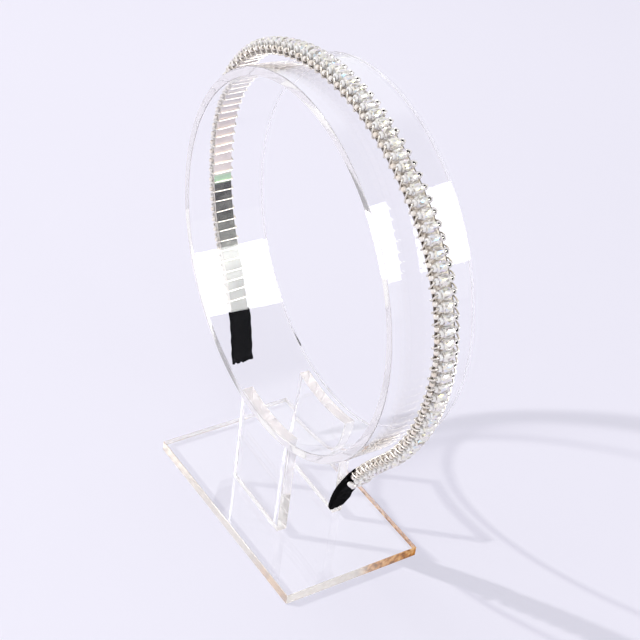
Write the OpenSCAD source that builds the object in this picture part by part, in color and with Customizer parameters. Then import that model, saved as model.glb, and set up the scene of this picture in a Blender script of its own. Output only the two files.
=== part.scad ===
// Crystal headband over a short acrylic tube on a clear display stand.
// The origin is the middle of the underside of the base plate. X runs along the plate,
// Y along the axis of the tube, Z up.

/* [Stand] */
// Length of the base plate
base_l = 88; // [80:1:110]
// Width of the base plate
base_w = 54; // [50:1:70]
// Thickness of the acrylic sheet of the plate and the uprights
sheet_t = 4; // [3:0.5:5]
// Angle at which the hand-glued plate sits out of square with the tube, in degrees
base_turn = 1.5; // [-3:0.5:3]
// Width of each upright
upright_w = 32; // [26:1:40]
// How far each upright is set in from the rim of the tube
upright_inset = 1.5; // [0:0.5:3]
// Outer diameter of the tube
tube_d = 130; // [128:1:130]
// Wall of the tube
tube_wall = 3; // [2:0.5:4]
// Length of the tube
tube_l = 30; // [26:1:40]
// Height of the axis of the tube above the table
tube_z = 107; // [100:1:115]
// Width of the polished chamfer on the edges of the acrylic
edge_cut = 0.3; // [0.2:0.1:0.5]

/* [Band] */
// Width of the steel band
band_w = 6.9; // [6.5:0.1:7.2]
// Thickness of the steel band
band_t = 0.9; // [0.8:0.1:1]
// Bend radius over the crown, on the inner face
crown_r = 79.2; // [79.2:0.1:80]
// Half the length of the crown bend
crown_len = 47.5; // [47:0.5:48]
// Bend radius of each shoulder
shoulder_r = 54.9; // [54.9:0.1:56]
// Length of each shoulder bend
shoulder_len = 51.5; // [51:0.5:52]
// Bend radius of each arm
arm_r = 77; // [77:0.5:79]
// Length of each arm bend
arm_len = 50.5; // [50:0.5:51]
// Radius at which each end flares outwards
flare_r = 128; // [128:1:150]
// Length of each flared end
flare_len = 41.5; // [40.5:0.5:42]

/* [Stones and wire] */
// Number of cut glass beads
bead_count = 92; // [85:1:92]
// Distance between neighbouring beads along the inner face of the band
bead_pitch = 3.74; // [3.74:0.01:3.76]
// Width across the flats of a bead, at its girdle
bead_d = 3.52; // [3.2:0.02:3.52]
// Length of a bead across the band
bead_l = 3.4; // [3.2:0.1:3.5]
// Diameter of the hole through a bead
bead_hole = 1.1; // [1.1:0.1:1.3]
// Diameter of the wire
wire_d = 0.6; // [0.5:0.05:0.6]

/* [Sleeves] */
// Wall of the ribbon sleeves
sleeve_wall = 0.6; // [0.5:0.1:0.8]
// Place along the band where the left sleeve starts
left_start = 171.5; // [171.5:0.5:174]
// Place where the left sleeve ends
left_end = 192.5; // [191.5:0.5:196]
// Place along the band where the right sleeve starts
right_start = 173.5; // [173.5:0.5:176]
// Place where the right sleeve ends
right_end = 198.5; // [191.5:0.5:200]

/* [Place of the headband on the stand] */
// Place of the inner face of the crown
crown_x = 6.6; // [6:0.1:7.2]
// Offset of the middle of the crown along the tube
crown_y = -1.5; // [-2:0.1:0]
// Height of the inner face of the crown above the table
crown_z = 172.7; // [172.7:0.1:175]
// Lean of the headband to the right, in degrees
lean = 5.1; // [4.5:0.1:5.6]
// Lean of the headband towards its back edge, in degrees
tip_back = 1.2; // [0:0.1:2]
// Turn of the headband about the upright axis, in degrees
turn = -0.2; // [-1:0.1:1]

/* [Hidden] */
$fn = 96;
tube_r = tube_d / 2;
upright_y = tube_l / 2 - upright_inset - sheet_t;
// Clearance between pieces that lie against each other
gap = 0.1;

// Bends of one half of the band, from the crown down: radius of the inner face, length.
// A radius below zero bends outwards.
RADIUS = 0;
LENGTH = 1;
BENDS = [
    [crown_r, crown_len],
    [shoulder_r, shoulder_len],
    [arm_r, arm_len],
    [-flare_r, flare_len]
];

// Steps in which each half of the band is bent
BAND_STEPS = 90;

wire_r = wire_d / 2;
// Place of the wire beside the band's edge and under its inner face
wrap_y = band_w / 2 + gap + wire_r;
wrap_h = -gap - wire_r;
// Height of a bead's axis above the inner face, and the offset of its middle across the band
bead_h = band_t + 2 * gap + bead_d / 2;
bead_y = -0.6;
bead_front = bead_y - bead_l / 2;
bead_back = bead_y + bead_l / 2;
// Place along the band of the middle of the row of beads, a little to the right of the crown
row_middle = 1.1;
// Path of one turn of wire, from one bead to the next: distance along the band in bead
// pitches, offset across the band, height above the inner face
WIRE_TURN = [
    [0, 3.15, bead_h],
    [0, -3.3, bead_h],
    [0.18, -wrap_y, 2.1],
    [0.42, -wrap_y - 0.1, 1.05],
    [0.5, -wrap_y, wrap_h],
    [0.5, wrap_y, wrap_h],
    [0.58, wrap_y + 0.1, 0.9],
    [0.82, wrap_y - 0.1, 2.1]
];
WIRE_SIDES = 5;
// Least cosine by which a bend of the wire is mitred
SHARPEST = 0.7;

// Cut of one bead, as rings of facet corners: radius, offset along the hole, turn in steps
BEAD_SIDES = 8;
step = 360 / BEAD_SIDES;
girdle_r = bead_d / 2 / cos(step / 2);
table_r = 0.62 * girdle_r;
BEAD_RINGS = [
    [bead_hole / 2, -bead_l / 2, 0],
    [table_r, -bead_l / 2, 0],
    [girdle_r, 0, 0.5],
    [table_r, bead_l / 2, 1],
    [bead_hole / 2, bead_l / 2, 1]
];
// Turn of the whole stack of rings, which the faces of the hole make good
BEAD_TWIST = 1;

function degrees(x) = x * 180 / PI;

// Distance from the crown at which a bend starts
function bend_start(i) = i == 0 ? 0 : bend_start(i - 1) + BENDS[i - 1][LENGTH];

// End of a bend that starts at point p with heading a and runs for a length l
function bend_end(p, a, r, l) =
    let (b = a + degrees(l / r))
    [p[0] + r * (sin(b) - sin(a)), p[1] + r * (cos(b) - cos(a)), b];

// Point and heading at distance s from the crown: x, z, degrees below level
function along(s, i = 0, p = [0, 0, 0]) =
    let (r = BENDS[i][RADIUS], l = BENDS[i][LENGTH])
    s <= l || i == len(BENDS) - 1
        ? bend_end(p, p[2], r, s)
        : along(s - l, i + 1, bend_end(p, p[2], r, l));

// The same for either half, with s below zero on the left
function on_band(s) =
    let (q = along(abs(s)))
    s < 0 ? [-q[0], q[1], -q[2]] : q;

// Point at distance s along the band, offset y across it and height h above the inner face
function at(s, y, h) =
    let (q = on_band(s))
    [q[0] + h * sin(q[2]), y, q[1] + h * cos(q[2])];

// Plate with a chamfer on every edge, centred on X and Y, standing on Z 0
module chamfered_plate(size) {
    module profile(a, b) {
        c = edge_cut;
        polygon([
            [-a / 2 + c, -b / 2], [a / 2 - c, -b / 2], [a / 2, -b / 2 + c], [a / 2, b / 2 - c],
            [a / 2 - c, b / 2], [-a / 2 + c, b / 2], [-a / 2, b / 2 - c], [-a / 2, -b / 2 + c]
        ]);
    }
    translate([0, 0, size[2] / 2])
        intersection() {
            linear_extrude(size[2], center = true)
                profile(size[0], size[1]);
            rotate([90, 0, 0])
                linear_extrude(size[1], center = true)
                    profile(size[0], size[2]);
            rotate([90, 0, 90])
                linear_extrude(size[0], center = true)
                    profile(size[1], size[2]);
        }
}

module base_plate() {
    color([0.93, 0.93, 0.97, 0.4])
        rotate([0, 0, base_turn])
            chamfered_plate([base_l, base_w, sheet_t]);
}

// One upright, its inner face at offset y, its top cut to the tube
module upright(y) {
    color([0.93, 0.93, 0.97, 0.4])
        difference() {
            translate([0, y, sheet_t])
                chamfered_plate([upright_w, sheet_t, tube_z - tube_r]);
            translate([0, 0, tube_z])
                rotate([90, 0, 0])
                    cylinder(r = tube_r + gap / 2, h = 2 * tube_l, center = true);
        }
}

module upright_near() {
    upright(-upright_y - sheet_t / 2);
}

module upright_far() {
    upright(upright_y + sheet_t / 2);
}

module display_tube() {
    c = edge_cut;
    inner = tube_r - tube_wall;
    half = tube_l / 2;
    color([0.93, 0.93, 0.97, 0.4])
        translate([0, 0, tube_z])
            rotate([90, 0, 0])
                rotate_extrude()
                    polygon([
                        [inner, -half + c], [inner + c, -half], [tube_r - c, -half],
                        [tube_r, -half + c], [tube_r, half - c], [tube_r - c, half],
                        [inner + c, half], [inner, half - c]
                    ]);
}

// Puts the headband over the tube as it hangs in the display
module placed() {
    translate([crown_x, crown_y, crown_z])
        rotate([0, 0, turn])
            rotate([tip_back, 0, 0])
                rotate([0, lean, 0])
                    children();
}

// Solid of a cross-section swept round the flare, from s0 to s1 along the band. The
// cross-section's X is the height above the inner face and its Y runs across the band.
// Side is 1 on the right and -1 on the left.
module flared(s0, s1, side) {
    start = bend_start(len(BENDS) - 1);
    p = along(start);
    a = p[2];
    centre = [side * (p[0] + flare_r * sin(a)), 0, p[1] + flare_r * cos(a)];
    from = 270 - a + degrees((s0 - start) / flare_r);
    sweep = degrees((s1 - s0) / flare_r);
    translate(centre)
        rotate([90, 0, 0])
            rotate([0, 0, side > 0 ? from : 180 - from - sweep])
                rotate_extrude(angle = sweep)
                    mirror([1, 0])
                        translate([-flare_r, 0])
                            children();
}

// Rectangle across the band, its corners cut by c
module section(h0, h1, w, c) {
    polygon(c == 0
        ? [[h0, -w / 2], [h1, -w / 2], [h1, w / 2], [h0, w / 2]]
        : [[h0 + c, -w / 2], [h1 - c, -w / 2], [h1, -w / 2 + c], [h1, w / 2 - c],
           [h1 - c, w / 2], [h0 + c, w / 2], [h0, w / 2 - c], [h0, -w / 2 + c]]);
}

// One edge line of the band from end to end, at height h above the inner face, as X and Z
function band_line(h) =
    let (half = bend_start(len(BENDS)))
    [for (k = [-BAND_STEPS : BAND_STEPS])
        let (p = at(k * half / BAND_STEPS, 0, h))
        [p[0], p[2]]];

function reversed(list) = [for (k = [len(list) - 1 : -1 : 0]) list[k]];

module band() {
    color("silver")
        placed()
            rotate([90, 0, 0])
                linear_extrude(band_w, center = true)
                    polygon(concat(band_line(0), reversed(band_line(band_t))));
}

// Corners of one bead in its own place: X along the band, Y along the hole, Z outwards
function bead_ring(ring) = [
    for (k = [0 : BEAD_SIDES - 1])
        let (turned = (k + ring[2]) * step)
        [ring[0] * cos(turned), ring[1], ring[0] * sin(turned)]
];

// Faces between rings of n corners each, the last ring joined to the first through the hole
function ring_faces(rings, n, twist) = [
    for (i = [0 : rings - 1], k = [0 : n - 1])
        let (j = (i + 1) % rings, shift = j == 0 ? twist : 0)
        let (m = (k + 1) % n, c = j * n + (k + shift) % n, d = j * n + (m + shift) % n)
        each [[i * n + k, i * n + m, c], [i * n + m, d, c]]
];

module bead() {
    polyhedron(
        points = [for (ring = BEAD_RINGS) each bead_ring(ring)],
        faces = ring_faces(len(BEAD_RINGS), BEAD_SIDES, BEAD_TWIST)
    );
}

// Place of each bead along the band
function bead_s(k) = (k - (bead_count - 1) / 2) * bead_pitch + row_middle;

module crystals() {
    color([0.95, 0.95, 1, 0.6])
        placed()
            for (k = [0 : bead_count - 1]) {
                q = on_band(bead_s(k));
                translate(at(bead_s(k), bead_y, bead_h))
                    rotate([0, q[2], 0])
                        bead();
            }
}

// Points of the whole wire, bead after bead
function wire_path() = [
    for (k = [0 : bead_count - 1])
        for (j = [0 : len(WIRE_TURN) - 1])
            if (k < bead_count - 1 || j < 2)
                at(bead_s(k) + WIRE_TURN[j][0] * bead_pitch, WIRE_TURN[j][1], WIRE_TURN[j][2])
];

function unit(v) = v / norm(v);

// Ring of corners round point i of a path, square to the mean direction there
function wire_ring(path, i, side) =
    let (
        n = len(path),
        before = unit(path[max(i, 1)] - path[max(i, 1) - 1]),
        after = unit(path[min(i + 1, n - 1)] - path[min(i + 1, n - 1) - 1]),
        t = unit(before + after),
        u = unit(side - (side * t) * t),
        v = cross(t, u),
        miter = 1 / max(SHARPEST, before * t)
    )
    [for (k = [0 : WIRE_SIDES - 1])
        let (w = k * 360 / WIRE_SIDES)
        path[i] + wire_r * miter * (u * cos(w) + v * sin(w))];

module wire() {
    path = wire_path();
    n = len(path);
    ends = [
        [for (k = [0 : WIRE_SIDES - 1]) WIRE_SIDES - 1 - k],
        [for (k = [0 : WIRE_SIDES - 1]) (n - 1) * WIRE_SIDES + k]
    ];
    sides = [
        for (i = [0 : n - 2], k = [0 : WIRE_SIDES - 1])
            let (m = (k + 1) % WIRE_SIDES, a = i * WIRE_SIDES, b = a + WIRE_SIDES)
            each [[a + k, a + m, b + k], [a + m, b + m, b + k]]
    ];
    color("white")
        placed()
            polyhedron(
                points = [for (i = [0 : n - 1]) each wire_ring(path, i, [1, 0, 0])],
                faces = concat(sides, ends)
            );
}

// Ribbon sleeve over one end of the band, from s0 to s1
module sleeve(s0, s1, side) {
    reach = gap + sleeve_wall;
    difference() {
        flared(s0, s1, side)
            section(-reach, band_t + reach, band_w + 2 * reach, 0.5);
        flared(s0 - 1, bend_start(len(BENDS)) + gap, side)
            section(-gap, band_t + gap, band_w + 2 * gap, 0);
    }
}

module sleeve_right() {
    color([0.08, 0.08, 0.08])
        placed()
            sleeve(right_start, right_end, 1);
}

module sleeve_left() {
    color([0.08, 0.08, 0.08])
        placed()
            sleeve(left_start, left_end, -1);
}

base_plate();
upright_near();
upright_far();
display_tube();
band();
crystals();
wire();
sleeve_left();
sleeve_right();
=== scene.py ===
"""Looks of a crystal headband over a clear tube on an acrylic stand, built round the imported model.

The headband's pieces are modelled straight, in millimetres, with X along the band, Y across it and
Z from its inner face outwards. Each is then bent round the band and set over the tube.
"""

import math
import random

import bmesh
import bpy
from mathutils import Matrix, Vector, noise


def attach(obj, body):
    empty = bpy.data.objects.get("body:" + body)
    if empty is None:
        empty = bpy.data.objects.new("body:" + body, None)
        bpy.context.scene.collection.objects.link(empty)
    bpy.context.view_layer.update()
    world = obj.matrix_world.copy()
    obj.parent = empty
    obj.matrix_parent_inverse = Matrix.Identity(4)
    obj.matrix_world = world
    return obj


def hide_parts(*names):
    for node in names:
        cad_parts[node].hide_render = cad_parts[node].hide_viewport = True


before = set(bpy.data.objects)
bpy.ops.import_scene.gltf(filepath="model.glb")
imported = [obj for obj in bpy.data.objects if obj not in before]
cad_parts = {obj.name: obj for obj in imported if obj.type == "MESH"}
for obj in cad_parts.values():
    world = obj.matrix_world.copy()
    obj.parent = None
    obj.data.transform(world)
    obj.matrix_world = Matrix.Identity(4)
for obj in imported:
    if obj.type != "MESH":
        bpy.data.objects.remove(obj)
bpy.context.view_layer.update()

MM = 0.001

# Camera, at the photograph's viewing angle: place in metres, then azimuth, elevation and roll in
# degrees
CAMERA_PLACE = (0.37097, -0.26362, 0.41559)
CAMERA_TURNS = (54.5, 37.4, 7.83)
CAMERA_LENS = 95.05
CAMERA_SHIFT = (0.0185, 0.0543)

# Stand, in millimetres, and the turn of its plate in degrees
BASE_L = 88.0
BASE_W = 54.0
BASE_TURN = 1.5
SHEET_T = 4.0
UPRIGHT_W = 32.0
UPRIGHT_Y = 11.5
TUBE_R = 65.0
TUBE_WALL = 3.0
TUBE_L = 30.0
TUBE_Z = 107.0
EDGE_CUT = 0.3
# Room under an upright and between it and the tube
FOOT_GAP = 0.03
TUBE_GAP = 0.05

# Band, in millimetres: radius and length of each bend of one half, from the crown down. A radius
# below zero bends outwards.
BAND_W = 6.9
BAND_T = 0.9
BAND_ROUND = 0.2
HALF_BENDS = ((79.2, 47.5), (54.9, 51.5), (77.0, 50.5), (-128.0, 41.5))
HALF_BAND = sum(length for _, length in HALF_BENDS)
# How it hangs on the tube: place of its crown, and its turns about Z, X and Y
CROWN = (6.6, -1.5, 172.7)
HANG_Z, HANG_X, HANG_Y = (math.radians(degrees) for degrees in (-0.2, 1.2, 5.1))

# Cut beads, in millimetres. Their row lies nearer the near edge, its middle just past the crown.
BEAD_COUNT = 92
BEAD_PITCH = 3.74
BEAD_D = 3.52
BEAD_L = 3.4
BEAD_GAP = 0.2
BEAD_H = BAND_T + BEAD_GAP + BEAD_D / 2
BEAD_Y = -0.6
BEAD_FRONT = BEAD_Y - BEAD_L / 2
BEAD_BACK = BEAD_Y + BEAD_L / 2
ROW_MIDDLE = 1.1
# Rings of a bead's corners: place along its axis and radius
BEAD_SIDES = 10
BEAD_RINGS = ((-1.7, 1.45), (-1.3, 1.74), (-0.45, 1.86), (0.45, 1.86), (1.3, 1.74), (1.7, 1.45))
# Glass that the drill leaves round the hole
BEAD_RIM = 0.83
# Finishes of its facets. Of twelve, four are plain and two each painted darker as shade, silvered,
# peach and sky.
FACET_FINISHES = (0, 0, 0, 0, 1, 1, 2, 2, 3, 3, 4, 4)

# Wire, in millimetres: where it turns round the band's edges, and its height under the inner face
WIRE_R = 0.3
WRAP_Y = 3.85
WRAP_H = -0.4
# One turn of wire, from one bead to the next: bead pitches along, offset across, height
WIRE_TURN = (
    (0.0, 3.15, BEAD_H), (0.0, BEAD_BACK, BEAD_H), (0.0, BEAD_FRONT, BEAD_H),
    (0.0, -3.2, BEAD_H), (0.1, -3.75, 2.6), (0.3, -WRAP_Y - 0.1, 1.5),
    (0.48, -WRAP_Y - 0.1, 0.4), (0.5, -WRAP_Y, WRAP_H), (0.5, -2.4, WRAP_H - 0.02),
    (0.5, 2.4, WRAP_H - 0.02), (0.5, WRAP_Y, WRAP_H), (0.56, WRAP_Y + 0.1, 0.6),
    (0.8, WRAP_Y - 0.05, 2.1), (0.96, 3.6, 2.8),
)
# How far a turn strays on the inner face, and how far it slants there, in bead pitches
WRAP_SHIFT = 0.06
WRAP_SLANT = 0.03

# Seed beads, in millimetres: outer radius, length and hole radius
CHAMPAGNE_SIZE = (0.85, 1.4, 0.35)
CLEAR_SIZE = (1.15, 1.0, 0.35)
SILVER_SIZE = (1.2, 1.8, 0.35)
# Their seats: bead pitches along, offset across, height, then swing and dip of the axis in degrees
CHAMPAGNE_SEAT = (0.69, -3.62, 1.7, 90, 0)
CLEAR_SEAT = (0.0, -2.85, BEAD_H, 0, 0)
SILVER_SEAT = (0.0, 2.15, BEAD_H, 0, 80)
SEED_WOBBLE = 6
# Silver seeds over the start of the right sleeve: distance along, offset across, height
END_SEEDS = ((177.4, -1.5, 2.75), (175.0, -3.3, 2.4), (177.3, 1.0, 2.8), (175.6, 3.2, 2.8))

# Ribbon sleeves, in millimetres: distances from the crown where each starts and stops
LEFT_SLEEVE = (171.5, 192.5)
RIGHT_SLEEVE = (173.5, 198.5)
SLEEVE_W = BAND_W + 1.4
SLEEVE_T = BAND_T + 0.9
SLEEVE_ROUND = 0.7
SLEEVE_WALL = 0.35

# Steps in the curves of the pieces
TUBE_STEPS = 720
UPRIGHT_STEPS = 32
BAND_STEPS = 360
SEED_STEPS = 12

MILLIMETRES = Matrix.Scale(MM, 4)
PLACED = (
    MILLIMETRES
    @ Matrix.Translation(CROWN)
    @ Matrix.Rotation(HANG_Z, 4, "Z")
    @ Matrix.Rotation(HANG_X, 4, "X")
    @ Matrix.Rotation(HANG_Y, 4, "Y")
)


# Objects and meshes

def new_object(name, data):
    piece = bpy.data.objects.new(name, data)
    bpy.context.scene.collection.objects.link(piece)
    return piece


def new_mesh(bm, name):
    """Mesh of a bmesh, which it frees."""
    mesh = bpy.data.meshes.new(name)
    bm.to_mesh(mesh)
    bm.free()
    return mesh


def add_copy(bm, pattern, place):
    """Adds a copy of a pattern mesh, set in its place, and returns its faces."""
    verts, faces = len(bm.verts), len(bm.faces)
    bm.from_mesh(pattern)
    bm.verts.ensure_lookup_table()
    bm.faces.ensure_lookup_table()
    bmesh.ops.transform(bm, matrix=place, verts=bm.verts[verts:])
    return bm.faces[faces:]


def long_edges(bm, axis, length):
    """Edges that reach further than a length along an axis, which is given by its index."""
    return [e for e in bm.edges if abs(e.verts[0].co[axis] - e.verts[1].co[axis]) > length]


def show(bm, name, finishes, place=PLACED, stands_for=(), crease=None):
    """Makes the object of a mesh in millimetres and sets it in its place."""
    bmesh.ops.transform(bm, matrix=place, verts=bm.verts)
    mesh = new_mesh(bm, name)
    for finish in finishes:
        mesh.materials.append(finish)
    if crease is not None:
        mesh.shade_smooth()
        mesh.set_sharp_from_angle(angle=math.radians(crease))
    piece = new_object(name, mesh)
    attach(piece, "root")
    if stands_for:
        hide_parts(*stands_for)
    return piece


def even_shading(piece):
    """Shades wide flat faces flat up to their rounded edges."""
    piece.modifiers.new("even_shading", "WEIGHTED_NORMAL").keep_sharp = True


# Camera

def make_camera():
    azimuth, elevation, roll = (math.radians(degrees) for degrees in CAMERA_TURNS)
    back = Vector((
        math.sin(azimuth) * math.cos(elevation),
        -math.cos(azimuth) * math.cos(elevation),
        math.sin(elevation),
    ))
    right = Vector((math.cos(azimuth), math.sin(azimuth), 0))
    up = back.cross(right)
    side = math.cos(roll) * right + math.sin(roll) * up
    data = bpy.data.cameras.new("camera")
    data.sensor_width = 36
    data.lens = CAMERA_LENS
    data.shift_x, data.shift_y = CAMERA_SHIFT
    data.clip_start = 0.05
    data.clip_end = 20
    camera = new_object("camera", data)
    turned = Matrix((side, back.cross(side), back)).transposed().to_4x4()
    camera.matrix_world = Matrix.Translation(CAMERA_PLACE) @ turned
    bpy.context.scene.camera = camera


# Places round the band

def along(s):
    """Point of the inner face at distance s from the crown, and its heading below level."""
    x = z = heading = 0.0
    left = abs(s)
    for radius, length in HALF_BENDS:
        run = left if (radius, length) == HALF_BENDS[-1] else min(left, length)
        turned = heading + run / radius
        x += radius * (math.sin(turned) - math.sin(heading))
        z += radius * (math.cos(turned) - math.cos(heading))
        heading = turned
        left -= run
    return (-x, z, -heading) if s < 0 else (x, z, heading)


def at(s, y, h):
    """Point at distance s along the band, offset y across it, height h over its inner face."""
    x, z, heading = along(s)
    return Vector((x + h * math.sin(heading), y, z + h * math.cos(heading)))


def frame_at(s, y, h):
    """The same place as a matrix, turned with the band."""
    return Matrix.Translation(at(s, y, h)) @ Matrix.Rotation(along(s)[2], 4, "Y")


def bend_round_band(bm):
    """Sets the points of a straight piece round the band."""
    for vert in bm.verts:
        vert.co = at(*vert.co)


def bead_place(k):
    """Distance of a bead from the crown, along the band."""
    return (k - (BEAD_COUNT - 1) / 2) * BEAD_PITCH + ROW_MIDDLE


# Materials

def linear(code):
    """Linear colour of an sRGB hex code."""
    parts = [int(code[i:i + 2], 16) / 255 for i in (1, 3, 5)]
    return tuple(
        c / 12.92 if c <= 0.04045 else ((c + 0.055) / 1.055) ** 2.4 for c in parts
    ) + (1.0,)


def add(tree, kind, values=None, links=None, stops=None, **settings):
    """Adds a node with its settings, its sockets' values, its links and its ramp's stops."""
    node = tree.nodes.new(kind)
    for key, value in settings.items():
        setattr(node, key, value)
    for key, value in (values or {}).items():
        node.inputs[key].default_value = value
    for key, source in (links or {}).items():
        tree.links.new(source, node.inputs[key])
    if stops:
        elements = node.color_ramp.elements
        elements[0].position, elements[0].color = stops[0]
        elements[1].position, elements[1].color = stops[-1]
        for position, colour in stops[1:-1]:
            elements.new(position).color = colour
    return node


def new_material(name):
    material = bpy.data.materials.new(name)
    material.use_nodes = True
    material.node_tree.nodes.clear()
    return material, material.node_tree


def clear_body(tree, body, tint, shade):
    """A clear body. Lamps shine through it in tint, and in shade where they graze it; the room's
    light passes as it is."""
    path = add(tree, "ShaderNodeLightPath")
    facing = add(tree, "ShaderNodeLayerWeight")
    glance = add(
        tree, "ShaderNodeMath", {1: 4.0}, {0: facing.outputs["Facing"]}, operation="POWER",
    )
    colour = add(
        tree, "ShaderNodeMix", {"A": linear(tint), "B": linear(shade)},
        {"Factor": glance.outputs[0]}, data_type="RGBA",
    )
    lit = add(tree, "ShaderNodeBsdfTransparent", links={"Color": colour.outputs["Result"]})
    lamps = add(
        tree, "ShaderNodeMixShader",
        links={"Fac": path.outputs["Is Shadow Ray"], 1: body, 2: lit.outputs[0]},
    )
    clear = add(tree, "ShaderNodeBsdfTransparent", {"Color": (1, 1, 1, 1)})
    return add(
        tree, "ShaderNodeMixShader",
        links={
            "Fac": path.outputs["Is Diffuse Ray"], 1: lamps.outputs[0], 2: clear.outputs[0],
        },
    ).outputs[0]


def clear_acrylic(name, ripple_size, shade):
    """Polished acrylic. It is clear and hard, with a faint ripple from the casting or the die."""
    material, tree = new_material(name)
    place = add(tree, "ShaderNodeTexCoord")
    ripple = add(
        tree, "ShaderNodeTexNoise", {"Scale": 1 / ripple_size, "Detail": 1.0},
        {"Vector": place.outputs["Object"]},
    )
    bump = add(
        tree, "ShaderNodeBump", {"Strength": 0.02, "Distance": 0.0002},
        {"Height": ripple.outputs[0]},
    )
    body = add(
        tree, "ShaderNodeBsdfPrincipled",
        {"Base Color": linear("#FFFFFF"), "Roughness": 0.005, "IOR": 1.49,
         "Transmission Weight": 1.0},
        {"Normal": bump.outputs[0]},
    )
    surface = clear_body(tree, body.outputs[0], "#FFFFFF", shade)
    add(tree, "ShaderNodeOutputMaterial", links={"Surface": surface})
    return material


def cut_acrylic(name, film, direction, reach, scorch, haze):
    """The cut edges of acrylic, laser cut or sawn and flame polished. They have a pale mottled
    film. scorch tells how amber the cut is along direction, from one end of reach to the other, in
    metres, and haze how thick the film is where it isn't scorched."""
    material, tree = new_material(name)
    place = add(tree, "ShaderNodeTexCoord")
    # Mottling of the cut, about 2 mm across
    mottle = add(
        tree, "ShaderNodeTexNoise", {"Scale": 500.0, "Detail": 1.0},
        {"Vector": place.outputs["Object"]},
    )
    spot = add(
        tree, "ShaderNodeVectorMath", {1: direction}, {0: place.outputs["Object"]},
        operation="DOT_PRODUCT",
    )
    run = add(
        tree, "ShaderNodeMapRange", {"From Min": reach[0], "From Max": reach[1]},
        {"Value": spot.outputs["Value"]},
    )
    burn = add(
        tree, "ShaderNodeValToRGB", links={"Fac": run.outputs[0]},
        stops=[(part, (v, v, v, 1)) for part, v in scorch],
    )
    clean = add(
        tree, "ShaderNodeValToRGB", links={"Fac": mottle.outputs[0]},
        stops=[(0.35, linear(film[0])), (0.65, linear(film[1]))],
    )
    burnt = add(
        tree, "ShaderNodeValToRGB", links={"Fac": mottle.outputs[0]},
        stops=[(0.35, linear("#85500F")), (0.5, linear("#CC8430")), (0.65, linear("#F2BE78"))],
    )
    colour = add(
        tree, "ShaderNodeMix", data_type="RGBA",
        links={"Factor": burn.outputs[0], "A": clean.outputs[0], "B": burnt.outputs[0]},
    )
    thick = add(
        tree, "ShaderNodeMapRange", {"To Min": haze, "To Max": 0.8},
        {"Value": burn.outputs[0]},
    )
    glass = add(
        tree, "ShaderNodeBsdfPrincipled",
        {"Roughness": 0.08, "IOR": 1.49, "Transmission Weight": 1.0},
        {"Base Color": colour.outputs["Result"]},
    )
    skin = add(
        tree, "ShaderNodeBsdfPrincipled", {"Roughness": 0.3},
        {"Base Color": colour.outputs["Result"]},
    )
    hazed = add(
        tree, "ShaderNodeMixShader",
        links={"Fac": thick.outputs[0], 1: glass.outputs[0], 2: skin.outputs[0]},
    )
    surface = clear_body(tree, hazed.outputs[0], "#8F8A96", "#7F7A86")
    add(tree, "ShaderNodeOutputMaterial", links={"Surface": surface})
    return material


# Where each finish of the band begins and where it is full. These are distances from the crown in
# millimetres, below zero as they are on the left arm.
GREYER_PLATING = (-100.0, -84.0)
GREEN_TARNISH = (-119.2, -120.2)
# Past this the left arm's inner face is painted dark: a painted reflection of a dark room
PAINTED_DARK_REFLECTION = (-122.5, -123.3)
# Heights over the inner face in millimetres
INNER_FACE = (0.3, 0.1)
OUTER_FACE = (0.7, 0.8)
# Shares of half the width
SHEARED_EDGE = (0.955, 0.99)
# The strips beside the beads are painted dark as shade
PAINTED_SHADE_STRIP = (0.85, 0.9)


def band_plating(tree, place, side):
    """Colour of the band's flat faces. The plating is greyer from near the crown on. Past a green
    tarnished edge, the end of the left arm's inner face is painted dark, a painted reflection of
    the dark room that its mirror would show."""
    # Clouds about 4 mm across
    cloud = add(
        tree, "ShaderNodeTexNoise", {"Scale": 260.0, "Detail": 3.0},
        {"Vector": place.outputs["Object"]},
    )
    pale = add(
        tree, "ShaderNodeValToRGB", links={"Fac": cloud.outputs[0]},
        stops=[(0.35, linear("#DFD4CF")), (0.7, linear("#E8DEDA"))],
    )
    # Painted dark reflection, mottled
    dark_reflection_ramp = add(
        tree, "ShaderNodeValToRGB", links={"Fac": cloud.outputs[0]},
        stops=[(0.35, linear("#454543")), (0.5, linear("#525250")), (0.7, linear("#686863"))],
    )
    greyer = add(
        tree, "ShaderNodeMapRange",
        {"From Min": GREYER_PLATING[0], "From Max": GREYER_PLATING[1]},
        {"Value": side.outputs["X"]},
    )
    green = add(
        tree, "ShaderNodeMapRange",
        {"From Min": GREEN_TARNISH[0], "From Max": GREEN_TARNISH[1]},
        {"Value": side.outputs["X"]},
    )
    dark_reflection_mask = add(
        tree, "ShaderNodeMapRange", {"From Min": PAINTED_DARK_REFLECTION[0], "From Max": PAINTED_DARK_REFLECTION[1]},
        {"Value": side.outputs["X"]},
    )
    inside = add(
        tree, "ShaderNodeMapRange", {"From Min": INNER_FACE[0], "From Max": INNER_FACE[1]},
        {"Value": side.outputs["Z"]},
    )
    plated = add(
        tree, "ShaderNodeMix", {"B": linear("#D0CBCD")},
        {"Factor": greyer.outputs[0], "A": pale.outputs[0]}, data_type="RGBA",
    )
    tarnish = add(
        tree, "ShaderNodeMix", {"B": linear("#B0CCAF")},
        {"Factor": green.outputs[0], "A": plated.outputs["Result"]}, data_type="RGBA",
    )
    dark_reflected = add(
        tree, "ShaderNodeMix", data_type="RGBA",
        links={"Factor": dark_reflection_mask.outputs[0], "A": tarnish.outputs["Result"],
               "B": dark_reflection_ramp.outputs[0]},
    )
    return add(
        tree, "ShaderNodeMix", data_type="RGBA",
        links={"Factor": inside.outputs[0], "A": plated.outputs["Result"],
               "B": dark_reflected.outputs["Result"]},
    ).outputs["Result"]


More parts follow.
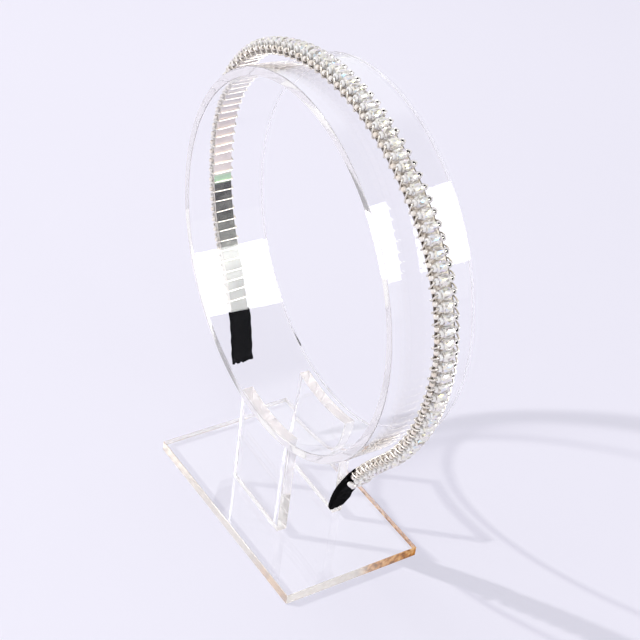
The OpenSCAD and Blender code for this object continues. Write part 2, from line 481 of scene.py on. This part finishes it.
def band_edges(tree, side, across, faces):
    """Colour of the faces with the sheared edges. Round the crown and halfway down the right arm
    they are painted dark as shade, and they are paler elsewhere."""
    sheared = add(
        tree, "ShaderNodeMapRange", {"From Min": SHEARED_EDGE[0], "From Max": SHEARED_EDGE[1]},
        {"Value": across},
    )
    run = add(
        tree, "ShaderNodeMapRange", {"From Min": -HALF_BAND, "From Max": HALF_BAND},
        {"Value": side.outputs["X"]},
    )
    # Painted shade along the sheared edges, from the crown halfway down the right arm
    painted_edge_shade = add(
        tree, "ShaderNodeValToRGB", links={"Fac": run.outputs[0]},
        stops=[(0.3, linear("#E9E3DB")), (0.42, linear("#8A857C")), (0.74, linear("#8A857C")),
               (0.84, linear("#D9D2C9"))],
    )
    return add(
        tree, "ShaderNodeMix", data_type="RGBA",
        links={"Factor": sheared.outputs[0], "A": faces, "B": painted_edge_shade.outputs[0]},
    ).outputs["Result"]


def under_beads(tree, place, across):
    """Colour of the outer face, fretted by the beads, with painted shade in the strips beside them.
    """
    # Fret marks about 1 mm apart
    fret = add(
        tree, "ShaderNodeTexNoise", {"Scale": 1000.0, "Detail": 2.0},
        {"Vector": place.outputs["Object"]},
    )
    fretted = add(
        tree, "ShaderNodeValToRGB", links={"Fac": fret.outputs[0]},
        stops=[(0.4, linear("#CCC6BD")), (0.5, linear("#ECE6DD")), (0.62, linear("#FCFAF6"))],
    )
    # Painted shade in the strips beside the beads
    strip = add(
        tree, "ShaderNodeMapRange", {"From Min": PAINTED_SHADE_STRIP[0], "From Max": PAINTED_SHADE_STRIP[1]},
        {"Value": across},
    )
    return add(
        tree, "ShaderNodeMix", {"B": linear("#88827A")},
        {"Factor": strip.outputs[0], "A": fretted.outputs[0]}, data_type="RGBA",
    ).outputs["Result"]


def rolled_steel():
    """Spring steel strip, rolled and plated, with fine scratches along it. It is a dull pale mirror,
    rough where the beads fret it. Shade is painted on its edges and in the strips beside the beads,
    and a dark painted reflection on the end of the left arm's inner face."""
    material, tree = new_material("rolled_steel")
    place = add(tree, "ShaderNodeTexCoord")
    strip = add(tree, "ShaderNodeAttribute", attribute_name="strip")
    side = add(tree, "ShaderNodeSeparateXYZ", links={0: strip.outputs["Vector"]})
    distance = add(
        tree, "ShaderNodeMath", links={0: side.outputs["Y"]}, operation="ABSOLUTE",
    )
    across = add(
        tree, "ShaderNodeMath", {1: BAND_W / 2}, {0: distance.outputs[0]}, operation="DIVIDE",
    )
    outside = add(
        tree, "ShaderNodeMapRange", {"From Min": OUTER_FACE[0], "From Max": OUTER_FACE[1]},
        {"Value": side.outputs["Z"]},
    )
    faces = band_plating(tree, place, side)
    colour = add(
        tree, "ShaderNodeMix", data_type="RGBA",
        links={"Factor": outside.outputs[0],
               "A": band_edges(tree, side, across.outputs[0], faces),
               "B": under_beads(tree, place, across.outputs[0])},
    )
    # Scratches some 0.1 mm wide and 2.5 mm long
    fine = add(
        tree, "ShaderNodeMapping", {"Scale": (9000.0, 9000.0, 400.0)},
        {"Vector": place.outputs["Object"]},
    )
    scratch = add(
        tree, "ShaderNodeTexNoise", {"Scale": 1.0, "Detail": 3.0, "Roughness": 0.6},
        {"Vector": fine.outputs[0]},
    )
    fine_rough = add(
        tree, "ShaderNodeMapRange", {"To Min": 0.25, "To Max": 0.5},
        {"Value": scratch.outputs[0]},
    )
    rough = add(
        tree, "ShaderNodeMath", operation="MAXIMUM",
        links={0: fine_rough.outputs[0], 1: outside.outputs[0]},
    )
    bump = add(
        tree, "ShaderNodeBump", {"Strength": 0.25, "Distance": 0.00003},
        {"Height": scratch.outputs[0]},
    )
    body = add(
        tree, "ShaderNodeBsdfPrincipled", {"Metallic": 1.0},
        {"Base Color": colour.outputs["Result"], "Roughness": rough.outputs[0],
         "Normal": bump.outputs[0]},
    )
    add(tree, "ShaderNodeOutputMaterial", links={"Surface": body.outputs[0]})
    return material


def cut_glass(name, colour, clearness, metal=0.0, film=0.0):
    """Cut and drilled glass with a vacuum coat. The facets are sharp and bright. Some are silvered
    by the coat, and some are painted darker as shade, standing in for the dark that facets reflect
    and bend. A film, in nanometres, turns the glints of others peach and blue."""
    material, tree = new_material(name)
    body = add(
        tree, "ShaderNodeBsdfPrincipled",
        {"Base Color": linear(colour), "Roughness": 0.03, "IOR": 1.54, "Metallic": metal,
         "Transmission Weight": clearness, "Thin Film Thickness": film, "Thin Film IOR": 2.0},
    )
    surface = clear_body(tree, body.outputs[0], "#DCDADF", "#8E8B93")
    add(tree, "ShaderNodeOutputMaterial", links={"Surface": surface})
    return material


def silvered_wire():
    """Silver plated copper craft wire, drawn smooth. It is bright, with a faint cream cast that
    comes and goes along it."""
    material, tree = new_material("silvered_wire")
    place = add(tree, "ShaderNodeTexCoord")
    # Clouds about 1.5 mm across
    cloud = add(
        tree, "ShaderNodeTexNoise", {"Scale": 700.0, "Detail": 2.0},
        {"Vector": place.outputs["Object"]},
    )
    colour = add(
        tree, "ShaderNodeValToRGB", links={"Fac": cloud.outputs[0]},
        stops=[(0.3, linear("#E4DDD0")), (0.7, linear("#F1ECE2"))],
    )
    body = add(
        tree, "ShaderNodeBsdfPrincipled", {"Metallic": 1.0, "Roughness": 0.2},
        {"Base Color": colour.outputs[0]},
    )
    add(tree, "ShaderNodeOutputMaterial", links={"Surface": body.outputs[0]})
    return material


def seed_glass(name, light, dark, clearness, metal):
    """Glass seed bead, drawn, cut and fire rounded. It is smooth and glossy, more milky than
    clear, or as bright as metal where it is lined with silver. Made dark, it is painted shade in a
    seed's hole."""
    material, tree = new_material(name)
    place = add(tree, "ShaderNodeTexCoord")
    # Clouds about 2 mm across, so that one seed is lighter than the next
    cloud = add(
        tree, "ShaderNodeTexNoise", {"Scale": 500.0, "Detail": 1.0},
        {"Vector": place.outputs["Object"]},
    )
    colour = add(
        tree, "ShaderNodeValToRGB", links={"Fac": cloud.outputs[0]},
        stops=[(0.35, linear(dark)), (0.65, linear(light))],
    )
    body = add(
        tree, "ShaderNodeBsdfPrincipled",
        {"Roughness": 0.08, "IOR": 1.52, "Transmission Weight": clearness, "Metallic": metal},
        {"Base Color": colour.outputs[0]},
    )
    add(tree, "ShaderNodeOutputMaterial", links={"Surface": body.outputs[0]})
    return material


def grosgrain():
    """Black polyester grosgrain ribbon, woven with ribs across it. It is matt and soft black, with
    a faint sheen on the ribs."""
    material, tree = new_material("grosgrain")
    cloth = add(tree, "ShaderNodeAttribute", attribute_name="ribbon")
    # Ribs 0.17 mm apart along the ribbon: a wave of scale 1 has 3.2 bands to a millimetre
    rib = add(
        tree, "ShaderNodeTexWave", {"Scale": 1 / 0.55, "Distortion": 0.6, "Detail": 1.0},
        {"Vector": cloth.outputs["Vector"]}, bands_direction="X",
    )
    # Lint about 0.3 mm across
    lint = add(
        tree, "ShaderNodeTexNoise", {"Scale": 3.0, "Detail": 4.0},
        {"Vector": cloth.outputs["Vector"]},
    )
    colour = add(
        tree, "ShaderNodeValToRGB", links={"Fac": lint.outputs[0]},
        stops=[(0.35, linear("#060607")), (0.7, linear("#121113"))],
    )
    bump = add(
        tree, "ShaderNodeBump", {"Strength": 0.5, "Distance": 0.00008},
        {"Height": rib.outputs["Fac"]},
    )
    body = add(
        tree, "ShaderNodeBsdfPrincipled",
        {"Roughness": 0.85, "Sheen Weight": 0.04, "Sheen Roughness": 0.4,
         "Specular IOR Level": 0.2},
        {"Base Color": colour.outputs[0], "Normal": bump.outputs[0]},
    )
    add(tree, "ShaderNodeOutputMaterial", links={"Surface": body.outputs[0]})
    return material


def paper():
    """Uncoated white board with a faint lavender cast, soft and matt."""
    material, tree = new_material("paper")
    place = add(tree, "ShaderNodeTexCoord")
    # Its tone drifts over about 0.3 m
    drift = add(
        tree, "ShaderNodeTexNoise", {"Scale": 3.0, "Detail": 1.0},
        {"Vector": place.outputs["Object"]},
    )
    colour = add(
        tree, "ShaderNodeValToRGB", links={"Fac": drift.outputs[0]},
        stops=[(0.3, linear("#EDEBF6")), (0.7, linear("#EFEDF8"))],
    )
    body = add(
        tree, "ShaderNodeBsdfPrincipled", {"Roughness": 0.9, "Specular IOR Level": 0.1},
        {"Base Color": colour.outputs[0]},
    )
    add(tree, "ShaderNodeOutputMaterial", links={"Surface": body.outputs[0]})
    return material


# Stand

def acrylic_tube(clear, rim):
    """The wall's chamfered section, spun once round the tube's axis."""
    bm = bmesh.new()
    bmesh.ops.create_grid(bm, x_segments=1, y_segments=1, size=1)
    for vert in bm.verts:
        x, y = vert.co.x, vert.co.y
        vert.co = (TUBE_R - TUBE_WALL / 2 + x * TUBE_WALL / 2, y * TUBE_L / 2, 0)
    bmesh.ops.bevel(
        bm, geom=list(bm.verts), offset=EDGE_CUT, segments=3, profile=0.5,
        affect="VERTICES", material=-1,
    )
    bmesh.ops.delete(bm, geom=list(bm.faces), context="FACES_ONLY")
    bmesh.ops.spin(
        bm, geom=list(bm.verts) + list(bm.edges), cent=(0, 0, 0), axis=(0, 1, 0),
        angle=math.tau, steps=TUBE_STEPS, use_merge=True,
    )
    bmesh.ops.remove_doubles(bm, verts=bm.verts, dist=0.001)
    bmesh.ops.recalc_face_normals(bm, faces=bm.faces)
    # The rims and their chamfers are the sawn faces
    for face in bm.faces:
        face.material_index = int(abs(face.normal.y) > 0.3)
    place = MILLIMETRES @ Matrix.Translation((0, 0, TUBE_Z))
    piece = show(
        bm, "acrylic_tube", [clear, rim], place, ["display_tube"], 50,
    )
    even_shading(piece)


def sheet_piece(bm, name, finishes, node, broad, turn=0.0):
    """Chamfers a sheet of acrylic and gives its cut edges their own finish. broad is the index of
    the axis that its broad faces look along."""
    bmesh.ops.bevel(
        bm, geom=[e for e in bm.edges if e.calc_face_angle(0) > math.radians(45)],
        offset=EDGE_CUT, segments=2, profile=0.5, affect="EDGES", material=-1,
    )
    for face in bm.faces:
        face.material_index = int(abs(face.normal[broad]) < 0.99)
    place = MILLIMETRES @ Matrix.Rotation(math.radians(turn), 4, "Z")
    piece = show(bm, name, finishes, place, [node], 50)
    even_shading(piece)


def base_plate(finishes):
    bm = bmesh.new()
    bmesh.ops.create_cube(bm, size=1, matrix=Matrix.Translation((0, 0, 0.5)))
    bmesh.ops.scale(bm, vec=(BASE_L, BASE_W, SHEET_T), verts=bm.verts)
    sheet_piece(bm, "plate", finishes, "base_plate", 2, BASE_TURN)


def upright(name, node, y, finishes):
    """An upright: its long edges are divided and its top is set to the tube's curve. It stands a
    hair over the plate, as glass faces that touch would show black."""
    bm = bmesh.new()
    bmesh.ops.create_cube(bm, size=1, matrix=Matrix.Translation((0, 0, 0.5)))
    bmesh.ops.scale(bm, vec=(UPRIGHT_W, SHEET_T, 1), verts=bm.verts)
    bmesh.ops.subdivide_edges(
        bm, edges=long_edges(bm, 0, 1), cuts=UPRIGHT_STEPS - 1, use_grid_fill=True,
    )
    for vert in bm.verts:
        x = vert.co.x
        curve = TUBE_Z - math.sqrt((TUBE_R + TUBE_GAP) ** 2 - x * x)
        vert.co.z = curve if vert.co.z > 0.5 else SHEET_T + FOOT_GAP
        vert.co.y += y
    sheet_piece(bm, name, finishes, node, 1)


def make_stand():
    wall = clear_acrylic("extruded_acrylic", ripple_size=0.009, shade="#8F8A96")
    rim = cut_acrylic(
        "sawn_acrylic", film=("#FAF7F4", "#FCFAF8"), direction=(0, 1, 0), reach=(0, 1),
        scorch=((0.0, 0.0), (1.0, 0.0)), haze=0.06,
    )
    acrylic_tube(wall, rim)
    sheet = clear_acrylic("cast_acrylic", ripple_size=0.03, shade="#F4F2F8")
    # Scorched towards the back right corner, and a little at the front left one
    edge = cut_acrylic(
        "laser_cut_plate", film=("#F1EDE2", "#F7F4EC"), direction=(1, 2.2, 0),
        reach=(-0.103, 0.103), haze=0.3,
        scorch=((0.0, 0.25), (0.16, 0.1), (0.3, 0.03), (0.74, 0.04), (0.8, 0.75), (1.0, 1.0)),
    )
    # Scorched at the feet
    upright_edge = cut_acrylic(
        "laser_cut_uprights", film=("#FDFBF8", "#FFFEFC"), direction=(0, 0, 1),
        reach=(0.004, 0.05), haze=0.06,
        scorch=((0.0, 0.25), (0.03, 0.02), (0.7, 0.0), (1.0, 0.01)),
    )
    base_plate([sheet, edge])
    upright("upright_front", "upright_near", -UPRIGHT_Y, [sheet, upright_edge])
    upright("upright_back", "upright_far", UPRIGHT_Y, [sheet, upright_edge])


# Headband

def steel_band(steel):
    """The strip, its long edges rounded. It keeps its straight shape as the attribute strip."""
    bm = bmesh.new()
    bmesh.ops.create_cube(bm, size=1)
    bmesh.ops.scale(bm, vec=(2 * HALF_BAND, BAND_W, BAND_T), verts=bm.verts)
    bmesh.ops.translate(bm, vec=(0, 0, BAND_T / 2), verts=bm.verts)
    bmesh.ops.bevel(
        bm, geom=long_edges(bm, 0, 1), offset=BAND_ROUND, segments=3, profile=0.5,
        affect="EDGES", material=-1,
    )
    bmesh.ops.subdivide_edges(
        bm, edges=long_edges(bm, 0, 1), cuts=BAND_STEPS - 1, use_grid_fill=True,
    )
    strip = bm.verts.layers.float_vector.new("strip")
    for vert in bm.verts:
        vert[strip] = vert.co
    bend_round_band(bm)
    piece = show(bm, "steel_band", [steel], stands_for=["band"], crease=50)
    even_shading(piece)


def bead_pattern():
    """One bead: its facets are the hull of its rings, each turned half a step against the last.
    Its tables are then drilled."""
    bm = bmesh.new()
    half_step = math.pi / BEAD_SIDES
    standing = Matrix.Rotation(math.radians(90), 4, "X")
    for k, (y, radius) in enumerate(BEAD_RINGS):
        bmesh.ops.create_circle(
            bm, segments=BEAD_SIDES, radius=radius,
            matrix=Matrix.Translation((0, y, 0))
            @ Matrix.Rotation(k * half_step, 4, "Y") @ standing,
        )
    bmesh.ops.convex_hull(bm, input=list(bm.verts))
    loose = [e for e in bm.edges if not e.link_faces]
    bmesh.ops.delete(bm, geom=loose, context="EDGES")
    bmesh.ops.dissolve_limit(
        bm, angle_limit=math.radians(1), verts=list(bm.verts), edges=list(bm.edges),
    )
    tables = [f for f in bm.faces if abs(f.normal.y) > 0.99]
    bmesh.ops.inset_individual(bm, faces=tables, thickness=BEAD_RIM)
    bmesh.ops.bridge_loops(bm, edges=[e for f in tables for e in f.edges])
    bmesh.ops.delete(bm, geom=tables, context="FACES")
    bmesh.ops.recalc_face_normals(bm, faces=bm.faces)
    return new_mesh(bm, "bead_pattern")


def crystals(finishes):
    """The row of beads. Each is turned at random on its wire, as strung beads are."""
    draw = random.Random(7)
    pattern = bead_pattern()
    bm = bmesh.new()
    for k in range(BEAD_COUNT):
        turn = Matrix.Rotation(draw.uniform(0, math.tau), 4, "Y")
        for facet in add_copy(bm, pattern, frame_at(bead_place(k), BEAD_Y, BEAD_H) @ turn):
            facet.material_index = draw.choice(FACET_FINISHES)
    bpy.data.meshes.remove(pattern)
    show(bm, "cut_crystals", finishes, stands_for=["crystals"])


def wound_wire(silver):
    """The wire's own line, made a round rod."""
    curve = bpy.data.curves.new("wire_line", "CURVE")
    curve.dimensions = "3D"
    curve.bevel_depth = WIRE_R
    curve.bevel_resolution = 2
    curve.resolution_u = 3
    curve.use_fill_caps = True
    line = curve.splines.new("NURBS")
    draw = random.Random(5)
    points = []
    for k in range(BEAD_COUNT):
        shift = draw.uniform(-WRAP_SHIFT, WRAP_SHIFT)
        slant = draw.uniform(-WRAP_SLANT, WRAP_SLANT)
        for u, y, h in WIRE_TURN:
            # The last turn ends once it is through its bead
            if k < BEAD_COUNT - 1 or u == 0:
                stray = shift + slant * y / WRAP_Y if h < 0 else 0
                points.append(at(bead_place(k) + (u + stray) * BEAD_PITCH, y, h))
    line.points.add(len(points) - 1)
    for point, place in zip(line.points, points):
        point.co = (*place, 1)
    line.order_u = 3
    line.use_endpoint_u = True
    rod = new_object("wire_line", curve)
    mesh = bpy.data.meshes.new_from_object(
        rod.evaluated_get(bpy.context.evaluated_depsgraph_get())
    )
    bm = bmesh.new()
    bm.from_mesh(mesh)
    bpy.data.objects.remove(rod)
    bpy.data.meshes.remove(mesh)
    bmesh.ops.remove_doubles(bm, verts=bm.verts, dist=0.0005)
    bmesh.ops.recalc_face_normals(bm, faces=bm.faces)
    show(bm, "wound_wire", [silver], stands_for=["wire"], crease=60)


def seed_pattern(outer, length, hole):
    """One seed: a rounded section spun once round the Y axis."""
    bm = bmesh.new()
    bmesh.ops.create_circle(bm, segments=8, radius=1)
    wall = (outer - hole) / 2
    for vert in bm.verts:
        x, y = vert.co.x, vert.co.y
        vert.co = ((outer + hole) / 2 + x * wall, y * length / 2, 0)
    bmesh.ops.spin(
        bm, geom=list(bm.verts) + list(bm.edges), cent=(0, 0, 0), axis=(0, 1, 0),
        angle=math.tau, steps=SEED_STEPS, use_merge=True,
    )
    bmesh.ops.remove_doubles(bm, verts=bm.verts, dist=0.001)
    bmesh.ops.recalc_face_normals(bm, faces=bm.faces)
    # The faces of the hole have the second finish
    for face in bm.faces:
        middle = face.calc_center_median()
        face.material_index = int(math.hypot(middle.x, middle.z) < hole + 0.25 * wall)
    return new_mesh(bm, "seed_pattern")


def seed_row(name, finishes, size, seat, seed, count=BEAD_COUNT, ends=()):
    """One seed bead per pitch: finishes are those of its outside and its hole, and ends the places
    of more seeds, past the row."""
    draw = random.Random(seed)
    pattern = seed_pattern(*size)
    u, y, h, swing, dip = seat
    bm = bmesh.new()
    places = [(bead_place(k) + u * BEAD_PITCH, y, h) for k in range(count)] + list(ends)
    for spot in places:
        turn = (
            Matrix.Rotation(math.radians(swing + draw.uniform(-SEED_WOBBLE, SEED_WOBBLE)), 4, "Z")
            @ Matrix.Rotation(math.radians(dip + draw.uniform(-SEED_WOBBLE, SEED_WOBBLE)), 4, "X")
        )
        add_copy(bm, pattern, frame_at(*spot) @ turn)
    bpy.data.meshes.remove(pattern)
    show(bm, name, finishes, crease=60)


def sleeve_blank(start, stop):
    """A flat tube, open at its start, divided finely enough to be shaped and wrinkled."""
    bm = bmesh.new()
    bmesh.ops.create_cube(bm, size=1)
    bmesh.ops.scale(bm, vec=(stop - start, SLEEVE_W, SLEEVE_T), verts=bm.verts)
    middle = Vector(((start + stop) / 2, 0, BAND_T / 2))
    bmesh.ops.translate(bm, vec=middle, verts=bm.verts)
    bmesh.ops.bevel(
        bm, geom=long_edges(bm, 0, 1), offset=SLEEVE_ROUND, segments=4, profile=0.5,
        affect="EDGES", material=-1,
    )
    mouth = [f for f in bm.faces if f.normal.x < -0.9]
    bmesh.ops.delete(bm, geom=mouth, context="FACES_ONLY")
    bmesh.ops.subdivide_edges(bm, edges=long_edges(bm, 0, 1), cuts=60, use_grid_fill=True)
    bmesh.ops.subdivide_edges(bm, edges=long_edges(bm, 1, 3), cuts=15, use_grid_fill=True)
    return bm


def drawn_to_leaf(x, y, z, t):
    """Moves a point of a sleeve to where it lies in a leaf. t runs from 0 at its start to 1."""
    # The near edge is drawn in towards the end, and the far edge bulges before it comes in
    near = -0.06 - 0.4 * max(0.0, t * 2 - 1) ** 1.6
    last = max(0.0, t - 0.7)
    far = -0.145 + 1.6 * last - 7 * last * last
    late = max(0.0, (t - 0.38) / 0.62)
    leaf_y = y * (1 + (near if y < 0 else far))
    # The end slants to its longest at the near edge, and its far corner is cut round
    off = leaf_y - 1.8
    x += late ** 3 * (0.4 - 0.12 * off - 0.3 * max(0.0, off) ** 2)
    # The inner face reaches on under the wire
    if z < 0 and y < 0:
        x -= 5.5 * (1 - t) ** 6
    # It is pressed flatter towards the end
    return x, leaf_y, BAND_T / 2 + (z - BAND_T / 2) * (1 - 0.3 * late)


def wrinkle(u, v, seed, depth):
    """Depth of a wrinkle at a point: a smooth random wave, one unit long."""
    return noise.noise(Vector((u, v, seed))) * depth


def sleeve(name, node, ribbon, span, side, seed, is_leaf):
    """A ribbon sleeve, wrinkled, its far end cut ragged. It may be drawn out to a leaf, which is
    cut cleaner and doesn't sway."""
    start, stop = span
    bm = sleeve_blank(start, stop)
    cloth = bm.verts.layers.float_vector.new("ribbon")
    for vert in bm.verts:
        x, y, z = vert.co
        vert[cloth] = (x, y, z)
        t = (x - start) / (stop - start)
        shaped_y = y
        if is_leaf:
            x, shaped_y, z = drawn_to_leaf(x, y, z, t)
        # Folds about 3 mm long, puckers of 1 mm and one slow sway from side to side
        fold = wrinkle(x * 0.35, y * 0.5, seed, 0.25)
        pucker = wrinkle(x * 1.1, y * 0.7, seed + 9, 0.12)
        sway = 0.0 if is_leaf else wrinkle(x * 0.22, 3.0, seed, 0.9) * min(1.0, t * 3)
        # It wrinkles over and under the band, and keeps its depth level with the inner face
        spread = 1 + fold + pucker if abs(z) > 0.3 else 1
        ragged = wrinkle(y * 1.4, z * 0.8, seed + 5, 0.44 if is_leaf else 1.1)
        x += ragged * max(0.0, t - 0.85) / 0.15
        vert.co = (
            side * x, shaped_y + sway + fold * 0.5, BAND_T / 2 + (z - BAND_T / 2) * spread,
        )
    bend_round_band(bm)
    bmesh.ops.recalc_face_normals(bm, faces=bm.faces)
    piece = show(bm, name, [ribbon], stands_for=[node], crease=60)
    wall = piece.modifiers.new("wall", "SOLIDIFY")
    wall.thickness = SLEEVE_WALL * MM
    wall.offset = -1


def make_headband():
    steel_band(rolled_steel())
    crystals([
        cut_glass("cut_glass", "#FFFCF6", 0.25),
        # Facets painted darker, as painted shade
        cut_glass("cut_glass_painted_shade", "#BDB6AE", 0.35),
        cut_glass("cut_glass_silvered", "#FAF4EC", 0.1, metal=0.7),
        cut_glass("cut_glass_peach", "#FFFAF4", 0.25, film=220.0),
        cut_glass("cut_glass_sky", "#FCFCFB", 0.25, film=300.0),
    ])
    wound_wire(silvered_wire())
    champagne = seed_glass("champagne_seed", "#FFFAF3", "#F9ECDC", 0.1, 0.1)
    clear = seed_glass("clear_seed", "#FFFEFB", "#FBF7F1", 0.1, 0.0)
    silver = seed_glass("silver_seed", "#FDFAF6", "#F4F0EB", 0.15, 0.5)
    # The silver seeds' holes are painted dark, as painted shade in the hole
    painted_hole_shade = seed_glass("silver_seed_hole_shade", "#2A2927", "#161514", 0.0, 1.0)
    # The champagne seeds lie between the beads, so there is one less of them
    seed_row(
        "champagne_seeds", [champagne, champagne], CHAMPAGNE_SIZE,
        CHAMPAGNE_SEAT, 11, count=BEAD_COUNT - 1,
    )
    seed_row("clear_seeds", [clear, clear], CLEAR_SIZE, CLEAR_SEAT, 12)
    seed_row(
        "silver_seeds", [silver, painted_hole_shade], SILVER_SIZE, SILVER_SEAT, 13,
        ends=END_SEEDS,
    )
    ribbon = grosgrain()
    sleeve("ribbon_left", "sleeve_left", ribbon, LEFT_SLEEVE, -1, 3.0, is_leaf=False)
    sleeve("ribbon_right", "sleeve_right", ribbon, RIGHT_SLEEVE, 1, 5.0, is_leaf=True)


# Studio: places and sizes in metres, directions in degrees

KEY_PLACE = (-0.3627, -0.5172, 0.5509)
KEY_RADIUS = 0.011
KEY_STRENGTH = 11.8
KEY_COLOUR = (1.0, 0.98, 0.96)
# Soft box, a metre from what it faces
BOX_AZIMUTH = 40
BOX_ELEVATION = 34
BOX_AIM = (0, 0, 0.09)
BOX_W = 0.75
BOX_H = 0.6
BOX_POWER = 9.0
ROOM = (1.01, 1.01, 1.045, 1)
DARK_ROOM = (0.3, 0.3, 0.32, 1)
# Dark parts of the room: direction, and the cosines where each begins and is full
DARK_PARTS = (
    ((0.2, 0.43, 0.88), 0.8, 0.95),
    ((-0.43, -0.61, 0.66), 0.93, 0.96),
)
FLOOR_REACH = 3
FLOOR_DROP = 0.0001
# The camera's film: deep shadows close up
FILM_TOE = ((0.04, 0.013), (0.12, 0.1), (0.3, 0.3))
BOUNCES = 32


def lamp(name, kind, place, **settings):
    data = bpy.data.lights.new(name, kind)
    for key, value in settings.items():
        setattr(data, key, value)
    piece = new_object(name, data)
    piece.location = place
    return piece


def make_lamps():
    key = lamp(
        "key", "POINT", KEY_PLACE, energy=1.0, shadow_soft_size=KEY_RADIUS, color=KEY_COLOUR,
        use_nodes=True,
    )
    tree = key.data.node_tree
    tree.nodes.clear()
    even = add(tree, "ShaderNodeLightFalloff", {"Strength": KEY_STRENGTH})
    glow = add(tree, "ShaderNodeEmission", links={"Strength": even.outputs["Constant"]})
    add(tree, "ShaderNodeOutputLight", links={"Surface": glow.outputs[0]})

    # Soft box on the right behind, kept for the reflections
    azimuth, elevation = math.radians(BOX_AZIMUTH), math.radians(BOX_ELEVATION)
    towards = Vector((
        math.cos(azimuth) * math.cos(elevation), math.sin(azimuth) * math.cos(elevation),
        math.sin(elevation),
    ))
    box = lamp(
        "soft_box", "AREA", Vector(BOX_AIM) + towards, energy=BOX_POWER, shape="RECTANGLE",
        size=BOX_W, size_y=BOX_H,
    )
    box.rotation_euler = towards.to_track_quat("Z", "Y").to_euler()
    box.visible_diffuse = False


def make_room():
    """A pale room, dark over the soft box and round the key."""
    world = bpy.data.worlds.new("room")
    bpy.context.scene.world = world
    world.use_nodes = True
    world.cycles.sampling_method = "NONE"
    tree = world.node_tree
    tree.nodes.clear()
    place = add(tree, "ShaderNodeTexCoord")
    masks = []
    for side, start, full in DARK_PARTS:
        towards = add(
            tree, "ShaderNodeVectorMath", {1: side}, {0: place.outputs["Generated"]},
            operation="DOT_PRODUCT",
        )
        masks.append(add(
            tree, "ShaderNodeMapRange", {"From Min": start, "From Max": full},
            {"Value": towards.outputs["Value"]}, interpolation_type="SMOOTHSTEP",
        ))
    dark = masks[0]
    for mask in masks[1:]:
        dark = add(
            tree, "ShaderNodeMath", operation="MAXIMUM",
            links={0: dark.outputs[0], 1: mask.outputs[0]},
        )
    colour = add(
        tree, "ShaderNodeMix", {"A": ROOM, "B": DARK_ROOM}, {"Factor": dark.outputs[0]},
        data_type="RGBA",
    )
    glow = add(tree, "ShaderNodeBackground", links={"Color": colour.outputs["Result"]})
    add(tree, "ShaderNodeOutputWorld", links={"Surface": glow.outputs[0]})


def make_studio():
    bm = bmesh.new()
    bmesh.ops.create_grid(
        bm, x_segments=1, y_segments=1, size=FLOOR_REACH,
        matrix=Matrix.Translation((0, 0, -FLOOR_DROP)),
    )
    mesh = new_mesh(bm, "floor")
    mesh.materials.append(paper())
    floor = new_object("floor", mesh)
    make_lamps()
    make_room()

    scene = bpy.context.scene
    scene.view_settings.view_transform = "Standard"
    scene.view_settings.look = "None"
    scene.view_settings.use_curve_mapping = True
    film = scene.view_settings.curve_mapping
    # The fourth curve bends all three colours
    for x, y in FILM_TOE:
        film.curves[3].points.new(x, y)
    film.update()
    scene.cycles.max_bounces = BOUNCES
    scene.cycles.transmission_bounces = BOUNCES
    scene.cycles.transparent_max_bounces = BOUNCES
    scene.cycles.glossy_bounces = BOUNCES
    scene.cycles.caustics_reflective = False
    scene.cycles.caustics_refractive = False


make_camera()
make_stand()
make_headband()
make_studio()
